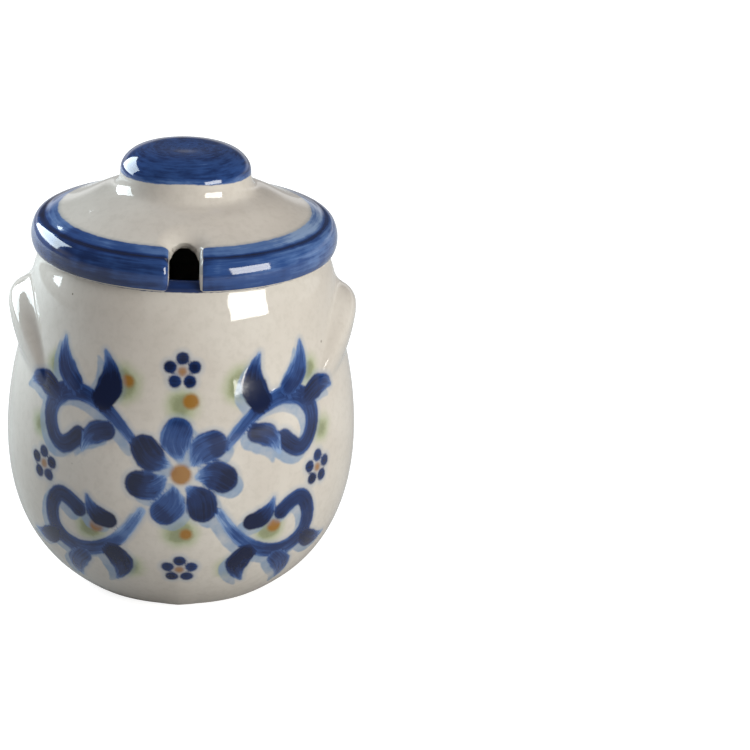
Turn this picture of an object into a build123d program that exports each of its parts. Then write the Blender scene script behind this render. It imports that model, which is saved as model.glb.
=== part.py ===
from build123d import *
import math
import os

# Honey pot of glazed stoneware: a round-bellied jar with two lugs, and a lift-off lid with a knob and a
# notch for the spoon's handle.
# Millimetres, +Z up. The origin is the middle of the face that the foot rests on. The spoon notch faces
# -Y, and the lugs stand at +X and -X. Every round outline is given as (radius, height) points.

# ---------------------------------------------------------------- jar
jar_height = 120.5
wall = 5.0
floor_thickness = 6.0
floor_radius = 30.0          # flat part of the floor inside

foot_radius = 34.1           # outer edge of the resting ring
foot_ring_width = 5.5
foot_recess = 1.5            # how far the underside is hollowed inside the ring

heel_radius = 43.3           # the outer wall, from the foot up
heel_height = 7.0
bowl_radius = 52.5
bowl_height = 19.0
belly_radius = 59.85          # the widest line
belly_height = 56.0
lower_inset = 1.25            # in from the belly
lower_height = 37.0
upper_fullness = 0.634       # how far the outline here is from the shoulder's radius to the belly's
upper_depth = 44.0           # each depth is measured down from the rim's top
shoulder_outset = 4.7        # out from the rim
shoulder_depth = 24.0
neck_outset = 1.7            # out from the rim
neck_depth = 8.5

rim_radius = 48.6            # outer edge of the rounded rim
rim_round = 2.4              # the rim is a half round, two of these thick

# ---------------------------------------------------------------- lugs, one on each side of the jar
lug_proud = 6.4              # how far the nose stands out from the wall
lug_top_depth = 12.2         # upper and lower edge at the middle of the lug, down from the rim's top
lug_bottom_depth = 37.5
lug_lean = 10.0              # degrees that its upper half leans out from the wall
lug_half_span = 35.0         # degrees round the jar, from the middle to a tip
lug_tip_drop = 16.0          # how far the middle line of the lug has come down at its tips
lug_tip_height = 4.0         # height and thickness of the section at the tips
lug_tip_proud = 1.5
lug_tip_sink = 2.0           # the tips run into the wall by this much
lug_sections = 9

# ---------------------------------------------------------------- lid, heights above the rim it sits on
lid_rest_gap = 0.05          # the lid's underside stays this far off the rim
lid_overhang = 3.1           # how far the roll at its widest stands out over the rim
roll_height = 1.6            # height of the widest line
roll_side_inset = 0.45        # each inset is measured in from the widest line
roll_side_height = 4.5
roll_crest_inset = 2.5
roll_crest_height = 7.5
lip_clearance = 0.4          # between the roll's hanging lip and the rim
lip_inset = 1.8              # the lip at its lowest
lip_depth = 2.9              # how far the lip hangs below the rim's top
groove_inset = 3.8           # furrow between the roll and the dome
groove_height = 7.7
dome_edge_inset = 6.4
dome_edge_height = 9.1
dome_inset = 15.7
dome_height = 12.9
neck_foot_radius = 28.0      # where the dome meets the neck of the knob
neck_foot_height = 16.7
lid_wall = 5.0

knob_cove_radius = 23.5      # the neck's hollow curve
knob_cove_height = 18.8
knob_neck_radius = 22.1
knob_neck_height = 21.6
knob_radius = 22.0
knob_widest_height = 24.9
knob_shoulder_radius = 18.7
knob_shoulder_height = 29.4
knob_flat_radius = 9.0
knob_height = 31.7
knob_dimple = 0.4            # depth of the hollow in the top

flange_clearance = 1.5       # between the flange and the mouth
flange_wall = 4.0            # ring under the lid that keeps it in the mouth
flange_depth = 7.0
flange_root_height = 5.0     # where the dome's underside meets the flange

notch_width = 9.8
notch_depth = 14.4           # from the roll's widest line in to the closed end

# ---------------------------------------------------------------- worked out from the above
lower_radius = belly_radius - lower_inset
shoulder_radius = rim_radius + shoulder_outset
upper_radius = shoulder_radius + (belly_radius - shoulder_radius) * upper_fullness
upper_height = jar_height - upper_depth
shoulder_height = jar_height - shoulder_depth
neck_radius = rim_radius + neck_outset
neck_height = jar_height - neck_depth
lug_top = jar_height - lug_top_depth
lug_bottom = jar_height - lug_bottom_depth
rim_mid_radius = rim_radius - rim_round
mouth_radius = rim_radius - 2 * rim_round
floor_height = foot_recess + floor_thickness
lid_base = jar_height + lid_rest_gap
lid_radius = rim_radius + lid_overhang
roll_side_radius = lid_radius - roll_side_inset
roll_crest_radius = lid_radius - roll_crest_inset
groove_radius = lid_radius - groove_inset
dome_edge_radius = lid_radius - dome_edge_inset
dome_radius = lid_radius - dome_inset
lip_radius = lid_radius - lip_inset
lip_inside_radius = rim_radius + lip_clearance
notch_end_radius = lid_radius - notch_depth
flange_radius = mouth_radius - flange_clearance
flange_inside_radius = flange_radius - flange_wall
ceiling_height = neck_foot_height - lid_wall

OUTER_WALL = [
    (heel_radius, heel_height),
    (bowl_radius, bowl_height),
    (lower_radius, lower_height),
    (belly_radius, belly_height),
    (upper_radius, upper_height),
    (shoulder_radius, shoulder_height),
    (neck_radius, neck_height),
]


def inset(points, depth):
    """The points moved inwards, each at right angles to the line through its neighbours."""
    moved = []
    last = len(points) - 1
    for index, (radius, height) in enumerate(points):
        before = points[max(index - 1, 0)]
        after = points[min(index + 1, last)]
        run = math.hypot(after[0] - before[0], after[1] - before[1])
        moved.append((radius - depth * (after[1] - before[1]) / run,
                      height + depth * (after[0] - before[0]) / run))
    return moved


def wall_radius(height):
    """Radius of the outer wall at a height, straight between the outline's points."""
    for (low_radius, low), (high_radius, high) in zip(OUTER_WALL, OUTER_WALL[1:]):
        if height <= high:
            return low_radius + (high_radius - low_radius) * (height - low) / (high - low)
    return neck_radius


def turned(edges):
    """A solid turned round the Z axis from the edges of its half section."""
    return revolve(make_face(Plane.XZ * edges), axis=Axis.Z)


def outer_wall_edge():
    """The jar's outside, from the foot up to the widest line of the rim."""
    rim_side = (rim_radius, jar_height - rim_round)
    return Spline((foot_radius, 0), *OUTER_WALL, rim_side, tangents=[(3, 2), (0, 1)],
                  tangent_scalars=[1.0, 1.0])


def jar_blank():
    """The jar as if it were solid, which the lugs are shaped against."""
    outside = outer_wall_edge()
    rim_side = outside @ 1
    closing = Polyline(rim_side, (0, rim_side.Y), (0, 0), (foot_radius, 0))
    return turned(outside + closing)


def jar_body():
    """The jar's wall, floor, foot ring and rounded rim."""
    outside = outer_wall_edge()
    rim_side = outside @ 1
    mouth_side = (mouth_radius, rim_side.Y)
    rim = ThreePointArc(rim_side, (rim_mid_radius, jar_height), mouth_side)
    inner_wall = inset(OUTER_WALL, wall)
    inside = Spline(mouth_side, *reversed(inner_wall), (floor_radius, floor_height),
                    tangents=[(0, -1), (-1, 0)])
    ring_inside = foot_radius - foot_ring_width
    base = Polyline((floor_radius, floor_height), (0, floor_height), (0, foot_recess),
                    (ring_inside - foot_recess, foot_recess), (ring_inside, 0), (foot_radius, 0))
    return turned(outside + rim + inside + base)


def lug_section(share):
    """The lug's section at a share of its half span, from -1 at one tip to 1 at the other."""
    bow = 1 - share ** 2
    height = lug_tip_height + (lug_top - lug_bottom - lug_tip_height) * bow
    middle = (lug_top + lug_bottom) / 2 - lug_tip_drop * share ** 2
    proud = lug_tip_proud + (lug_proud - lug_tip_proud) * bow
    slope = math.atan2(wall_radius(middle + 1) - wall_radius(middle - 1), 2) + math.radians(lug_lean) * bow
    azimuth = math.radians(lug_half_span * share)
    radial = Vector(math.cos(azimuth), math.sin(azimuth), 0)
    up = radial * math.sin(slope) + Vector(0, 0, 1) * math.cos(slope)
    out = radial * math.cos(slope) - Vector(0, 0, 1) * math.sin(slope)
    place = radial * (wall_radius(middle) - lug_tip_sink * share ** 2) + Vector(0, 0, middle)
    return Plane(origin=place, x_dir=out, z_dir=out.cross(up)) * Ellipse(proud, height / 2)


def lug(side):
    """The lug at +X or -X: a low crescent that hugs the wall, face to face with it."""
    shares = [-1 + 2 * step / (lug_sections - 1) for step in range(lug_sections)]
    crescent = loft([lug_section(share) for share in shares])
    pieces = (crescent - jar_blank()).solids()
    outer = max(pieces, key=lambda piece: piece.volume)
    return outer if side > 0 else outer.rotate(Axis.Z, 180)


def notch_cutter():
    """The U-shaped way for the spoon's handle, through the roll and the edge of the dome."""
    end_round = notch_width / 2
    reach = lid_radius + notch_width
    slot = Box(notch_width, reach - notch_end_radius - end_round, 2 * knob_height,
               align=(Align.CENTER, Align.MAX, Align.CENTER))
    closed_end = Cylinder(end_round, 2 * knob_height)
    return Pos(0, -notch_end_radius - end_round, 0) * (slot + closed_end)


def flange_gap():
    """The gap in the flange below the notch."""
    gap = Box(notch_width, flange_radius + notch_width, flange_depth + flange_root_height,
              align=(Align.CENTER, Align.MAX, Align.MAX))
    return Pos(0, 0, flange_root_height) * gap


def lid_shell():
    """The lid's roll, groove, dome and flange, with the spoon notch cut through them."""
    widest = (lid_radius, roll_height)
    roll = Spline(widest, (roll_side_radius, roll_side_height), (roll_crest_radius, roll_crest_height),
                  (groove_radius, groove_height), tangents=[(0, 1), (-1, 0)])
    dome = Spline((groove_radius, groove_height), (dome_edge_radius, dome_edge_height),
                  (dome_radius, dome_height), (neck_foot_radius, neck_foot_height))
    middle = Polyline((neck_foot_radius, neck_foot_height), (0, neck_foot_height), (0, ceiling_height))
    under = Spline((0, ceiling_height), (flange_inside_radius, flange_root_height),
                   tangents=[(1, 0), (1, -1)])
    flange = Polyline((flange_inside_radius, flange_root_height), (flange_inside_radius, -flange_depth),
                      (flange_radius, -flange_depth), (flange_radius, 0), (lip_inside_radius, 0),
                      (lip_inside_radius, -lip_depth * 2 / 3))
    lip = Spline((lip_inside_radius, -lip_depth * 2 / 3), (lip_radius, -lip_depth), widest,
                 tangents=[(0, -1), (0, 1)])
    shell = turned(roll + dome + middle + under + flange + lip)
    return Pos(0, 0, lid_base) * (shell - notch_cutter() - flange_gap())


def lid_knob():
    """The bun-shaped knob with its neck, standing on the flat at the top of the dome."""
    neck = Spline((neck_foot_radius, neck_foot_height), (knob_cove_radius, knob_cove_height),
                  (knob_neck_radius, knob_neck_height), (knob_radius, knob_widest_height),
                  tangents=[(-3, 2), (0, 1)])
    cap = Spline((knob_radius, knob_widest_height), (knob_shoulder_radius, knob_shoulder_height),
                 (knob_flat_radius, knob_height), tangents=[(0, 1), (-1, 0)])
    hollow = Spline((knob_flat_radius, knob_height), (0, knob_height - knob_dimple),
                    tangents=[(-1, 0), (-1, 0)])
    base = Polyline((0, knob_height - knob_dimple), (0, neck_foot_height),
                    (neck_foot_radius, neck_foot_height))
    return Pos(0, 0, lid_base) * turned(neck + cap + hollow + base)


NODES = {
    "jar_body": jar_body,
    "lug_right": lambda: lug(1),
    "lug_left": lambda: lug(-1),
    "lid_shell": lid_shell,
    "lid_knob": lid_knob,
}

if __name__ == "__main__":
    os.makedirs("parts", exist_ok=True)
    for name, build in NODES.items():
        export_step(build(), f"parts/{name}.step")
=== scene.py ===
import logging
import math
from dataclasses import dataclass, field
from enum import Enum
from typing import Callable, Sequence

import bpy
import numpy as np
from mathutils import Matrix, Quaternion, Vector
from mathutils.kdtree import KDTree


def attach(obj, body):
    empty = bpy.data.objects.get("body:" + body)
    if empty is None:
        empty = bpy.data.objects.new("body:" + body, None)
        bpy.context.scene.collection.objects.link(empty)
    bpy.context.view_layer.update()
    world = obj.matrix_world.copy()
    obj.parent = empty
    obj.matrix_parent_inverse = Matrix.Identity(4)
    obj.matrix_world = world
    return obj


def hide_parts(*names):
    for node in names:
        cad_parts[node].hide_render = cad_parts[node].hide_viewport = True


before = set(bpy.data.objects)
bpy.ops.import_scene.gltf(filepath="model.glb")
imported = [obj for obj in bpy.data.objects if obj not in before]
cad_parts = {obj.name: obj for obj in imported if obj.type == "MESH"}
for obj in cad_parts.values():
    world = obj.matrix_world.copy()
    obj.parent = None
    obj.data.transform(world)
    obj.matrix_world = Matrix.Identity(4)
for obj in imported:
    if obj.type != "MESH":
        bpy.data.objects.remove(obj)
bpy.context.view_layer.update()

log = logging.getLogger("honey_pot")

MM = 0.001
Point = tuple[float, float]


# ------------------------------------------------------------------ lines
def spline(knots: Sequence[Point], spacing: float, start: Point | None = None,
           end: Point | None = None) -> np.ndarray:
    """Runs an even curve through the knots.

    Args:
        knots: the points that the curve passes through, in mm.
        spacing: the distance wanted between the points given back, in mm.
        start: the direction at the first knot, or None for a free end.
        end: the direction at the last knot, or None for a free end.

    Returns:
        The points along the curve, the first and last knots among them.
    """
    at = np.array(knots, float)
    run = np.r_[0.0, np.cumsum(np.hypot(*np.diff(at, axis=0).T))]
    count = len(at)
    step = np.diff(run)
    system = np.zeros((count, count))
    right = np.zeros((count, 2))
    for i in range(1, count - 1):
        system[i, i - 1:i + 2] = step[i], 2 * (step[i - 1] + step[i]), step[i - 1]
        came, goes = (at[i] - at[i - 1]) / step[i - 1], (at[i + 1] - at[i]) / step[i]
        right[i] = 3 * (came * step[i] + goes * step[i - 1])
    for row, other, gap, way in ((0, 1, step[0], start), (count - 1, count - 2, step[-1], end)):
        system[row, row] = 1 if way else 2
        if way:
            right[row] = np.array(way) / math.hypot(*way)
        else:
            system[row, other] = 1
            right[row] = 3 * (at[other] - at[row]) / gap * (1 if row == 0 else -1)
    slope = np.linalg.solve(system, right)
    fine = []
    for i in range(count - 1):
        t = np.linspace(0, 1, 60, endpoint=False)[:, None]
        h = step[i]
        fine.append((2 * t**3 - 3 * t**2 + 1) * at[i] + (t**3 - 2 * t**2 + t) * h * slope[i]
                    + (3 * t**2 - 2 * t**3) * at[i + 1] + (t**3 - t**2) * h * slope[i + 1])
    fine.append(at[-1:])
    return evenly(np.vstack(fine), spacing)


def evenly(points: np.ndarray, spacing: float) -> np.ndarray:
    """Gives a line again in even steps, its ends kept.

    Args:
        points: the line's points.
        spacing: the distance wanted between points, in mm.

    Returns:
        The new points.
    """
    run = np.r_[0.0, np.cumsum(np.hypot(*np.diff(points, axis=0).T))]
    stops = np.linspace(0, run[-1], max(2, round(run[-1] / spacing) + 1))
    return np.column_stack([np.interp(stops, run, points[:, k]) for k in (0, 1)])


def turn(corner: Point, before: Point, after: Point, size: float, steps: int = 5) -> np.ndarray:
    """Rounds one corner of an outline.

    Args:
        corner: the sharp corner, in mm.
        before: a point on the line that comes in.
        after: a point on the line that goes out.
        size: how far from the corner the rounding starts, in mm.
        steps: the number of short edges in it.

    Returns:
        The points of the rounding, in order.
    """
    mid = np.array(corner, float)
    ends = []
    for other in (before, after):
        way = np.array(other, float) - mid
        ends.append(mid + way / np.hypot(*way) * size)
    t = np.linspace(0, 1, steps + 1)[:, None]
    return (1 - t) ** 2 * ends[0] + 2 * t * (1 - t) * mid + t ** 2 * ends[1]


def joined(*runs: Sequence) -> np.ndarray:
    """Strings runs of points together, leaving out points that lie on one another.

    Args:
        runs: the runs, in order.

    Returns:
        The points of all of them.
    """
    points = np.vstack([np.atleast_2d(np.array(run, float)) for run in runs])
    keep = np.r_[True, np.hypot(*np.diff(points, axis=0).T) > 0.02]
    return points[keep]


# ------------------------------------------------------------------ bench tools
def clear_selection() -> None:
    """Leaves nothing selected, so that an operator acts on the new piece alone."""
    if bpy.context.object and bpy.context.object.mode != "OBJECT":
        bpy.ops.object.mode_set(mode="OBJECT")
    bpy.ops.object.select_all(action="DESELECT")


def take(piece: bpy.types.Object) -> None:
    """Selects one piece and makes it the active one.

    Args:
        piece: the piece.
    """
    clear_selection()
    piece.select_set(True)
    bpy.context.view_layer.objects.active = piece


def thrown(name: str, section: np.ndarray, steps: int) -> bpy.types.Object:
    """Throws a closed form: its half section is drawn point by point and spun round the upright axis.

    Args:
        name: the new piece's name.
        section: (radius, height) points in mm, from the axis round to the axis again.
        steps: how many times the section is repeated in a full turn.

    Returns:
        The piece, closed and with its faces outwards.
    """
    clear_selection()
    radius, height = section[0]
    bpy.ops.mesh.primitive_plane_add(size=MM, location=(radius * MM, 0, height * MM))
    piece = bpy.context.object
    piece.name = piece.data.name = name
    bpy.ops.object.mode_set(mode="EDIT")
    bpy.ops.mesh.select_all(action="SELECT")
    bpy.ops.mesh.merge(type="CENTER")
    for step in np.diff(section, axis=0) * MM:
        bpy.ops.mesh.extrude_region_move(TRANSFORM_OT_translate={"value": (step[0], 0, step[1])})
    bpy.ops.mesh.select_all(action="SELECT")
    bpy.ops.mesh.spin(steps=steps, angle=math.tau, use_auto_merge=True, center=(0, 0, 0), axis=(0, 0, 1))
    bpy.ops.mesh.select_all(action="SELECT")
    bpy.ops.mesh.remove_doubles(threshold=0.01 * MM)
    bpy.ops.mesh.normals_make_consistent(inside=False)
    bpy.ops.object.mode_set(mode="OBJECT")
    bpy.ops.object.transform_apply(location=True, rotation=True, scale=True)
    bpy.ops.object.shade_smooth()
    return piece


def places(piece: bpy.types.Object) -> np.ndarray:
    """Reads where the piece's vertices are, in mm.

    Args:
        piece: the piece.

    Returns:
        A row of x, y and z for each vertex.
    """
    flat = np.empty(len(piece.data.vertices) * 3)
    piece.data.vertices.foreach_get("co", flat)
    return flat.reshape(-1, 3) / MM


def set_places(piece: bpy.types.Object, points: np.ndarray) -> None:
    """Moves the piece's vertices to these places in mm."""
    piece.data.vertices.foreach_set("co", (points * MM).ravel())
    piece.data.update()


def apply(piece: bpy.types.Object, kind: str, **settings: object) -> None:
    """Adds a modifier with these settings and applies it at once.

    Args:
        piece: the piece to work on.
        kind: the modifier's type.
        settings: its settings by name.
    """
    take(piece)
    modifier = piece.modifiers.new(kind.title(), kind)
    for key, value in settings.items():
        setattr(modifier, key, value)
    bpy.ops.object.modifier_apply(modifier=modifier.name)


def raise_clay(piece: bpy.types.Object, amount: np.ndarray) -> None:
    """Raises the surface along its normals.

    Args:
        piece: the piece to shape.
        amount: how far each vertex goes out, in mm.
    """
    most = float(np.abs(amount).max())
    group = piece.vertex_groups.new(name="clay")
    for index in np.nonzero(np.abs(amount) > 1e-4)[0]:
        group.add([int(index)], float(abs(amount[index]) / most), "REPLACE")
    apply(piece, "DISPLACE", vertex_group="clay", strength=most * MM, mid_level=0.0, direction="NORMAL")
    piece.vertex_groups.clear()


def store(piece: bpy.types.Object, name: str, values: np.ndarray) -> None:
    """Keeps one number for each vertex under a name that the glazes read."""
    layer = piece.data.attributes.new(name, "FLOAT", "POINT")
    layer.data.foreach_set("value", values.astype(np.float32))


def eased(x: np.ndarray, low: float, high: float) -> np.ndarray:
    """0 below low, 1 above high, and an even S between."""
    t = np.clip((x - low) / (high - low), 0, 1)
    return t * t * (3 - 2 * t)


# ------------------------------------------------------------------ painting
class Paint(Enum):
    """What the brush is dipped in. The value is the name of the layer that holds it."""

    COBALT = "cobalt"
    WASH = "wash"
    GREEN = "green"
    OCHRE = "ochre"
    PEACH = "peach"
    LEMON = "lemon"


SPREAD = {Paint.GREEN: 5.0, Paint.OCHRE: 1.5, Paint.PEACH: 0.9, Paint.LEMON: 0.9}
"""How far each soft paint runs into the glaze, in mm."""


@dataclass(frozen=True)
class Stroke:
    """One pull of a loaded brush, in mm across and up from the middle of a design.

    Attributes:
        path: points that the middle of the stroke passes through.
        widths: full width at each point of the path.
        paint: what the brush is dipped in.
        load: how thick the paint lies, from 0 for watery to 1 for full.
    """

    path: tuple[Point, ...]
    widths: tuple[float, ...]
    paint: Paint = Paint.COBALT
    load: float = 0.7

    def trail(self) -> tuple[np.ndarray, np.ndarray]:
        """Follows the stroke in short steps.

        Returns:
            Its middle line, and its half width at each point of it.
        """
        if len(self.path) == 1:
            line = np.array([self.path[0], (self.path[0][0] + 0.05, self.path[0][1])])
            return line, np.full(2, self.widths[0] / 2)
        line = spline(self.path, 0.7) if len(self.path) > 2 else evenly(np.array(self.path, float), 0.7)
        run = np.r_[0.0, np.cumsum(np.hypot(*np.diff(line, axis=0).T))]
        knots = [float(run[np.argmin(np.hypot(*(line - knot).T))]) for knot in np.array(self.path)]
        return line, np.interp(run, knots, self.widths) / 2

    def moved(self, across: float, up: float, turned: float = 0.0, flip: bool = False) -> "Stroke":
        """The same stroke carried elsewhere.

        Args:
            across: how far it goes to the right, in mm.
            up: how far it goes up, in mm.
            turned: how far it is turned first, in degrees, anticlockwise.
            flip: whether it is mirrored left to right before all else.

        Returns:
            The new stroke.
        """
        c, s = math.cos(math.radians(turned)), math.sin(math.radians(turned))
        path = [(-x if flip else x, y) for x, y in self.path]
        path = tuple((x * c - y * s + across, x * s + y * c + up) for x, y in path)
        return Stroke(path, self.widths, self.paint, self.load)


def comma(length: float, width: float, curl: float, load: float = 0.7, paint: Paint = Paint.COBALT) -> Stroke:
    """A comma stroke from its round head at the origin to its thin tail above.

    Args:
        length: from head to tail, in mm.
        width: across the head, in mm.
        curl: how far the tail swings to the right, in mm.
        load: how thick the paint lies.
        paint: what the brush is dipped in.

    Returns:
        The stroke.
    """
    path = ((0, 0), (-0.25 * curl, 0.33 * length), (0.1 * curl, 0.68 * length), (curl, length))
    return Stroke(path, (0.86 * width, width, 0.62 * width, 0.16 * width), paint, load)


def blob(across: float, up: float, width: float, paint: Paint = Paint.COBALT, load: float = 0.8) -> Stroke:
    """A round touch of the brush."""
    return Stroke(((across, up),), (width,), paint, load)


def touches(paint: Paint, *spots: tuple[float, float, float]) -> list[Stroke]:
    """Round touches of one paint, each given by its place across and up and its width."""
    return [blob(across, up, width, paint, 1.0) for across, up, width in spots]


def wash_of(strokes: Sequence[Stroke], across: float, up: float, wider: float = 1.0) -> list[Stroke]:
    """The watery shadow that is laid down beside strokes before them."""
    return [Stroke(tuple((x + across, y + up) for x, y in s.path), tuple(w * wider for w in s.widths),
                   Paint.WASH, 0.5) for s in strokes]


def both_sides(strokes: Sequence[Stroke]) -> list[Stroke]:
    """The strokes and their mirror images."""
    return [*strokes, *(s.moved(0, 0, 0, True) for s in strokes)]


@dataclass(frozen=True)
class Blossom:
    """A round flower of comma-stroke petals.

    Attributes:
        petals: how many petals.
        reach: from the middle to a petal's tip, in mm.
        width: across a petal, in mm.
        heart: the paint of the touch in the middle.
        heart_width: across that touch, in mm.
    """

    petals: int
    reach: float
    width: float
    heart: Paint = Paint.OCHRE
    heart_width: float = 7.0

    def strokes(self, across: float, up: float, turned: float = 0.0) -> list[Stroke]:
        """Paints the flower round a point of the design.

        Args:
            across: the point's place to the right, in mm.
            up: its height in the design, in mm.
            turned: how far the flower is turned, in degrees.

        Returns:
            The strokes, the heart last.
        """
        inner = self.reach * 0.3
        path = ((0.4, self.reach - 0.45 * self.width), (-0.06 * self.width, 0.62 * self.reach), (0.3, inner))
        petal = Stroke(path, (0.9 * self.width, 0.95 * self.width, 0.24 * self.width))
        made = []
        for k in range(self.petals):
            angle = turned + 360 * k / self.petals
            load = 0.55 + 0.4 * ((k * 37) % 10) / 10
            made.append(Stroke(petal.path, petal.widths, petal.paint, load).moved(across, up, angle))
        return [*made, blob(across, up, self.heart_width, self.heart, 1.0)]


class FrontSpray:
    """The design under the notch: a large blossom with four leafy sprays."""

    @staticmethod
    def spray() -> list[Stroke]:
        """One upper and one lower spray, to the right of the blossom.

        Returns:
            Their strokes.
        """
        stem_up = Stroke(((36, 10), (44, 5.5), (49, 14), (40, 24), (27, 21.5), (15, 10)),
                         (6.4, 6.2, 6.6, 6.8, 5.4, 3.2), load=0.8)
        stem_down = Stroke(((36, -16), (44, -12.5), (48, -23), (38, -32), (24, -27.5), (13, -13)),
                           (6.4, 6.2, 6.8, 7.0, 5.6, 3.2), load=0.7)
        leaves = [
            comma(15, 9.4, 4, 0.9).moved(27, 24, 18),
            comma(14, 9.0, -3.5, 0.6).moved(38.5, 27, -32),
            comma(13, 8.4, 3, 0.8).moved(47.5, 22, -78),
            comma(12, 7.8, 3, 0.7).moved(25.5, 13.5, -118),
            comma(13, 9.0, -4, 0.85).moved(22.5, -31, -202),
            comma(13, 9.0, 3.5, 0.6).moved(35, -36, -160),
            comma(12, 8.2, -3, 0.8).moved(47.5, -30, -118),
            comma(11, 7.4, -3, 0.9).moved(24.5, -18, -62),
        ]
        return [stem_up, stem_down, *leaves]

    @staticmethod
    def star(across: float, up: float) -> list[Stroke]:
        """A small flower of five round dots about an ochre one.

        Args:
            across: its place to the right, in mm.
            up: its height in the design, in mm.

        Returns:
            Its touches.
        """
        reach, width, heart_width = 4.2, 4.4, 3.4
        angles = [math.radians(72 * k + 90) for k in range(5)]
        dots = [blob(across + reach * math.cos(a), up + reach * math.sin(a), width) for a in angles]
        return [*dots, blob(across, up, heart_width, Paint.OCHRE, 1.0)]

    @classmethod
    def strokes(cls) -> list[Stroke]:
        """All strokes of the design, those underneath first.

        Returns:
            The strokes.
        """
        sprays = both_sides(cls.spray())
        flower = Blossom(7, 19.5, 11.0, Paint.OCHRE, 7.0).strokes(0, 1, 6)
        stars = []
        for across, up in ((0, 35.5), (-52, -4), (52, -4), (0, -36.5)):
            stars += cls.star(across, up)
        greens = touches(Paint.GREEN, (0, -20.5, 11), (-20, 30, 12), (20, 30, 12), (-47, 30, 9), (47, 30, 9),
                         (-31, -22, 11), (31, -22, 11), (-17, -37, 9), (17, -37, 9), (0, 24.5, 10),
                         (-54, 9, 8), (54, 9, 8))
        ochres = touches(Paint.OCHRE, (3, 25.5, 5), (-29, -21, 5), (33, -21, 5), (-18, 31, 4), (22, 31, 4),
                         (2, -21, 4))
        return [*greens, *ochres, *wash_of(sprays, -2.6, -2.4, 0.95), *wash_of(flower[:-1], 2.4, -2.6, 0.9),
                *sprays, *flower, *stars]


class BackTulip:
    """The design behind: a tall tulip on its stem between two small blossoms."""

    @staticmethod
    def outlined(path: Sequence[Point], width: float, fill: Paint, fill_width: float,
                 load: float) -> list[Stroke]:
        """A petal drawn as a thick closed line round a filled middle.

        Args:
            path: the closed line, without its first point repeated.
            width: width of the line, in mm.
            fill: the paint of the middle.
            fill_width: how wide the brush for the middle is, in mm.
            load: how thick the line's paint lies.

        Returns:
            The strokes, the middle first.
        """
        ring = tuple(path) + (path[0],)
        widths = tuple(width * (0.8 + 0.3 * math.sin(2.1 * k)) for k in range(len(ring)))
        mid = np.mean(path, axis=0)
        top = max(path, key=lambda p: p[1])
        low = min(path, key=lambda p: p[1])
        middle = tuple(tuple(mid + (np.array(p) - mid) * 0.45) for p in (low, mid, top))
        return [Stroke(middle, (fill_width * 0.7, fill_width, fill_width * 0.7), fill, 1.0),
                Stroke(ring, widths, Paint.COBALT, load)]

    @classmethod
    def strokes(cls) -> list[Stroke]:
        """All strokes of the design, those underneath first.

        Returns:
            The strokes.
        """
        side = ((-3, 8), (-13, 14), (-17, 27), (-12, 38), (-6.5, 27))
        left = cls.outlined(side, 4.2, Paint.PEACH, 9.5, 0.75)
        right = [s.moved(0, 0, 0, True) for s in left]
        centre = cls.outlined(((0, 9), (-6.5, 22), (0, 38.5), (6.5, 22)), 4.0, Paint.LEMON, 9.5, 0.85)
        stem = Stroke(((0, 7), (-1.2, -10), (0.8, -28), (0, -38)), (3.4, 4.2, 4.0, 4.6), load=0.85)
        leaf = Stroke(((1.5, -34), (13, -22), (21, -8), (20, 8)), (4.4, 8.4, 6.6, 1.4), load=0.7)
        vein = Stroke(((3, -30), (12, -20), (18.5, -8)), (1.6, 3.4, 1.6), Paint.GREEN, 1.0)
        leaves = both_sides([leaf])
        blade = comma(12, 6.4, 3.5, 0.75)
        ground = [blade.moved(x, -41, a) for x, a in ((-2, 78), (-15, 84), (2, -78), (15, -84))]
        small = []
        for across, up, size in ((-41, 15, 1.0), (41, 20, 0.85), (-38, -24, 0.8), (38, -19, 0.95)):
            blossom = Blossom(5, 13.5 * size, 8.6 * size, Paint.PEACH, 9.0 * size)
            small += blossom.strokes(across, up, 20 * size)
            small.append(blob(across, up, 3.2 * size, Paint.OCHRE, 1.0))
        sprigs = [comma(11, 5.6, 3, 0.7).moved(x, y, a) for x, y, a in (
            (-41, -1, 160), (-38, -5, 205), (41, 3, 160), (38, 0, 205), (-27, 34, 30), (27, 36, -30))]
        greens = touches(Paint.GREEN, (-8, -16, 8), (8, -16, 8), (0, 4, 9), (-30, -36, 8), (30, -34, 8))
        leaf_wash = wash_of([*leaves, *ground, *sprigs], 2.2, -2.4, 0.95)
        petal_wash = wash_of([left[1], right[1]], 2.4, -1.6, 1.1)
        flower = [*left, *right, *centre, stem, *leaves, *both_sides([vein])]
        return [*greens, *leaf_wash, *petal_wash, *flower, *ground, *sprigs, *small]


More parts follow.
